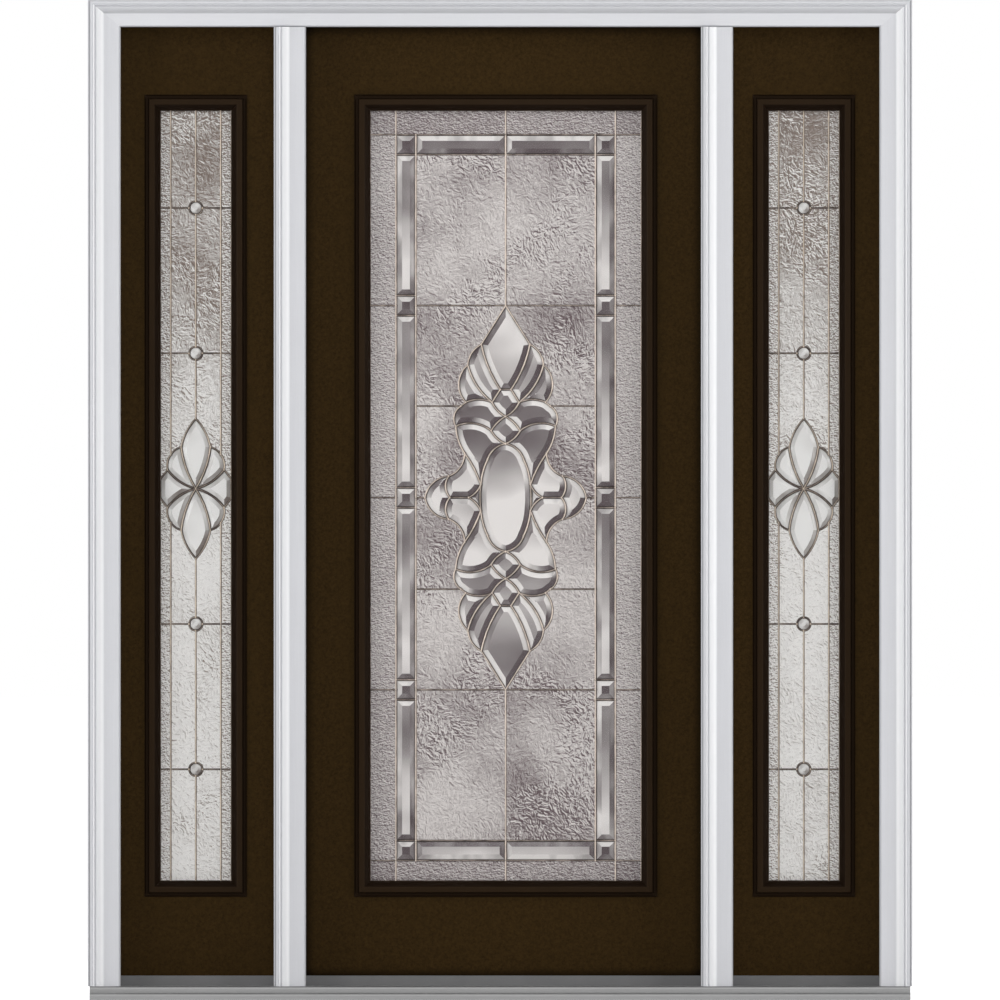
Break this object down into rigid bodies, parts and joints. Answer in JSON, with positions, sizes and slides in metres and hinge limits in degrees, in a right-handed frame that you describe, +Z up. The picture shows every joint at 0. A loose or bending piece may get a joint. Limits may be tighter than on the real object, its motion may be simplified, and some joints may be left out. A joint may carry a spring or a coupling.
{
  "type": "entry door with sidelights",
  "caption": "Prehung entry door with a full leaded-glass lite, fixed leaded sidelights on both sides, moulded casings and an aluminium sill; the door swings inward.",
  "frame": {"origin": "on the sill's underside, halfway across the unit, in the plane of the wall's outer face, which is also the casings' back", "axes": "+X to the right as seen from outside, +Y from outside to inside, +Z up"},
  "size_m": [1.7388, 0.1819, 2.11],
  "materials": {
    "frame_white": "smooth white paint on wood",
    "sill_aluminium": "mill finish, matt grey",
    "sill_wood": "plain softwood",
    "dark_cap": "matt grey composite",
    "door_paint": "smooth dark brown satin paint",
    "lite_frame_brown": "dark brown moulded surround",
    "clear_glass": "clear float glass",
    "spacer_bar": "mill finish",
    "came": "pale brass-coloured came",
    "watery_glass": "clear glass with a watery texture",
    "hammered_glass": "clear glass with a fine hammered texture",
    "bevelled_glass": "polished clear glass with ground bevels",
    "seal_rubber": "dark foam and vinyl",
    "hinge_steel": "brushed steel"
  },
  "bodies": {
    "frame": {"left_jamb": "frame_white", "right_jamb": "frame_white", "head_jamb": "frame_white", "left_mullion": "frame_white", "right_mullion": "frame_white", "left_casing": "frame_white", "right_casing": "frame_white", "head_casing": "frame_white", "left_mullion_cover": "frame_white", "right_mullion_cover": "frame_white", "sill": "sill_aluminium", "sill_core": "sill_wood", "threshold_cap": "dark_cap", "left_sidelight_cap": "dark_cap", "right_sidelight_cap": "dark_cap", "weatherstrip": "seal_rubber", "hinge_frame_leaves": "hinge_steel", "hinge_pins": "hinge_steel", "left_sidelight_slab": "door_paint", "left_outer_lite_frame": "lite_frame_brown", "left_inner_lite_frame": "lite_frame_brown", "left_panes": "clear_glass", "left_spacer": "spacer_bar", "left_came": "came", "left_field_glass": "watery_glass", "left_border_glass": "hammered_glass", "left_bevels": "bevelled_glass", "right_sidelight_slab": "door_paint", "right_outer_lite_frame": "lite_frame_brown", "right_inner_lite_frame": "lite_frame_brown", "right_panes": "clear_glass", "right_spacer": "spacer_bar", "right_came": "came", "right_field_glass": "watery_glass", "right_border_glass": "hammered_glass", "right_bevels": "bevelled_glass"},
    "door": {"door_slab": "door_paint", "door_outer_lite_frame": "lite_frame_brown", "door_inner_lite_frame": "lite_frame_brown", "door_panes": "clear_glass", "door_spacer": "spacer_bar", "door_came": "came", "door_field_glass": "watery_glass", "door_border_glass": "hammered_glass", "door_border_bevels": "bevelled_glass", "door_cluster_bevels": "bevelled_glass", "door_sweep": "seal_rubber", "hinge_door_leaves": "hinge_steel"}
  },
  "joints": [
    {"name": "door_swing", "type": "hinge", "parent": "frame", "child": "door", "pos_m": [-0.42155, 0.1235, 1.05], "axis": [0, 0, 1], "range_deg": [0, 105]}
  ]
}
